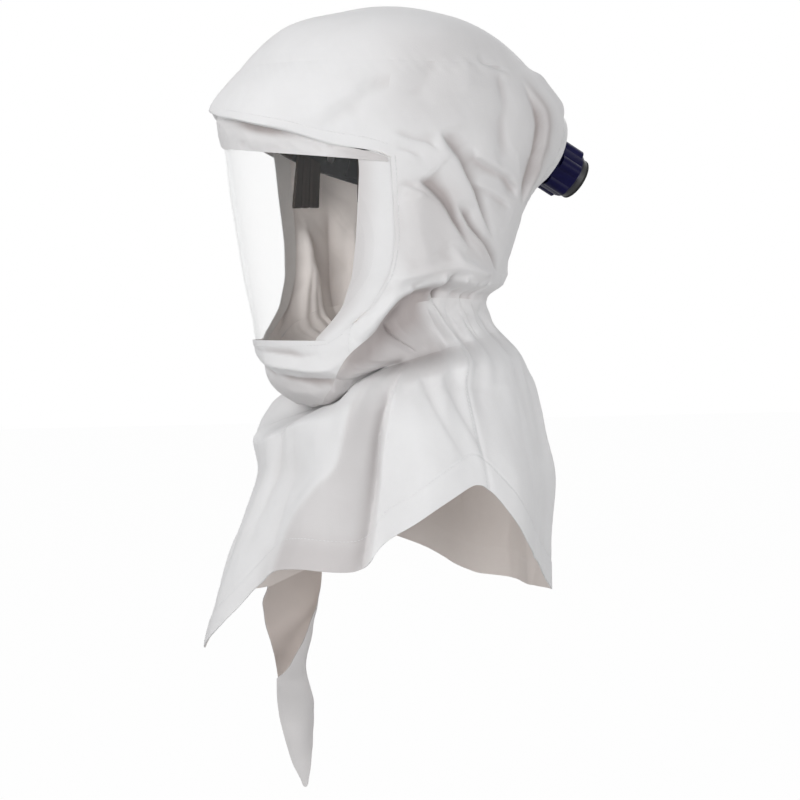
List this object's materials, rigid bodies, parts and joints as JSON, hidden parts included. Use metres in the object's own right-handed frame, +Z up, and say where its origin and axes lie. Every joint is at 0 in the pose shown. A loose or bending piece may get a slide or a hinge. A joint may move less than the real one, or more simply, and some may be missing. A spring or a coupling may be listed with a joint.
{
  "type": "powered air respirator hood",
  "caption": "White fabric respirator hood with a clear wrap-round visor, draped bib, adjustable head suspension, over-head air duct and a rear hose inlet with a turning lock collar.",
  "frame": {"origin": "centre of the headband, where the wearer's head seats", "axes": "+Z up, the face looks along -Y, +X to the wearer's left"},
  "size_m": [0.2893, 0.349, 0.682],
  "materials": {
    "hood_fabric": "non-woven",
    "trim_fabric": "smooth",
    "clear_film": "gloss",
    "elastic_web": "woven",
    "black_plastic": "satin",
    "dark_foam": "foam",
    "steel": "satin",
    "grey_plastic": "satin",
    "black_rubber": "matte",
    "navy_plastic": "satin"
  },
  "bodies": {
    "hood": {"crown_panel": "hood_fabric", "brow_panel": "hood_fabric", "left_side_panel": "hood_fabric", "right_side_panel": "hood_fabric", "back_panel": "hood_fabric", "chin_panel": "hood_fabric", "neck_yoke": "hood_fabric", "neck_elastic": "elastic_web", "front_bib": "hood_fabric", "back_bib": "hood_fabric", "visor": "clear_film", "visor_top_band": "trim_fabric", "left_visor_tape": "trim_fabric", "right_visor_tape": "trim_fabric", "brow_band": "black_plastic", "brow_pad": "dark_foam", "left_strap": "black_plastic", "right_strap": "black_plastic", "band_rivets": "steel", "left_temple_pad": "dark_foam", "right_temple_pad": "dark_foam", "cross_strap": "black_plastic", "crown_strap": "black_plastic", "crown_stud": "steel", "left_hanger": "elastic_web", "right_hanger": "elastic_web", "duct_saddle": "black_plastic", "ratchet_housing": "black_plastic", "ratchet_cover": "black_plastic", "nape_pad": "dark_foam", "friction_washer": "steel", "air_duct": "grey_plastic", "inlet_plenum": "grey_plastic", "inlet_flange": "black_plastic", "inlet_gasket": "black_rubber", "clamp_ring": "navy_plastic", "snap_ring": "steel", "hose_seal": "black_rubber"},
    "collar": {"lock_collar": "navy_plastic"},
    "knob": {"ratchet_knob": "black_plastic", "ratchet_pinion": "black_plastic", "knob_screw": "steel"},
    "left_rack": {"left_rack": "black_plastic"},
    "right_rack": {"right_rack": "black_plastic"}
  },
  "joints": [
    {"name": "collar_turn", "type": "hinge", "parent": "hood", "child": "collar", "pos_m": [0, 0.15363, 0.005], "axis": [0, 0.8829, -0.4695], "range_deg": [0, 60]},
    {"name": "knob_turn", "type": "hinge", "parent": "hood", "child": "knob", "pos_m": [0, 0.01358, -0.00339], "axis": [0, 0.9703, -0.2419], "range_deg": [-100, 100]},
    {"name": "left_rack_slide", "type": "hinge", "parent": "hood", "child": "left_rack", "pos_m": [0, 0.01358, -0.00339], "axis": [0, 0.2419, 0.9703], "range_deg": [-10, 10]},
    {"name": "right_rack_slide", "type": "hinge", "parent": "hood", "child": "right_rack", "pos_m": [0, 0.01358, -0.00339], "axis": [0, 0.2419, 0.9703], "range_deg": [-10, 10]}
  ],
  "couplings": [
    {"joint": "left_rack_slide", "follows": "knob_turn", "ratio": -0.09542},
    {"joint": "right_rack_slide", "follows": "knob_turn", "ratio": 0.09542}
  ]
}
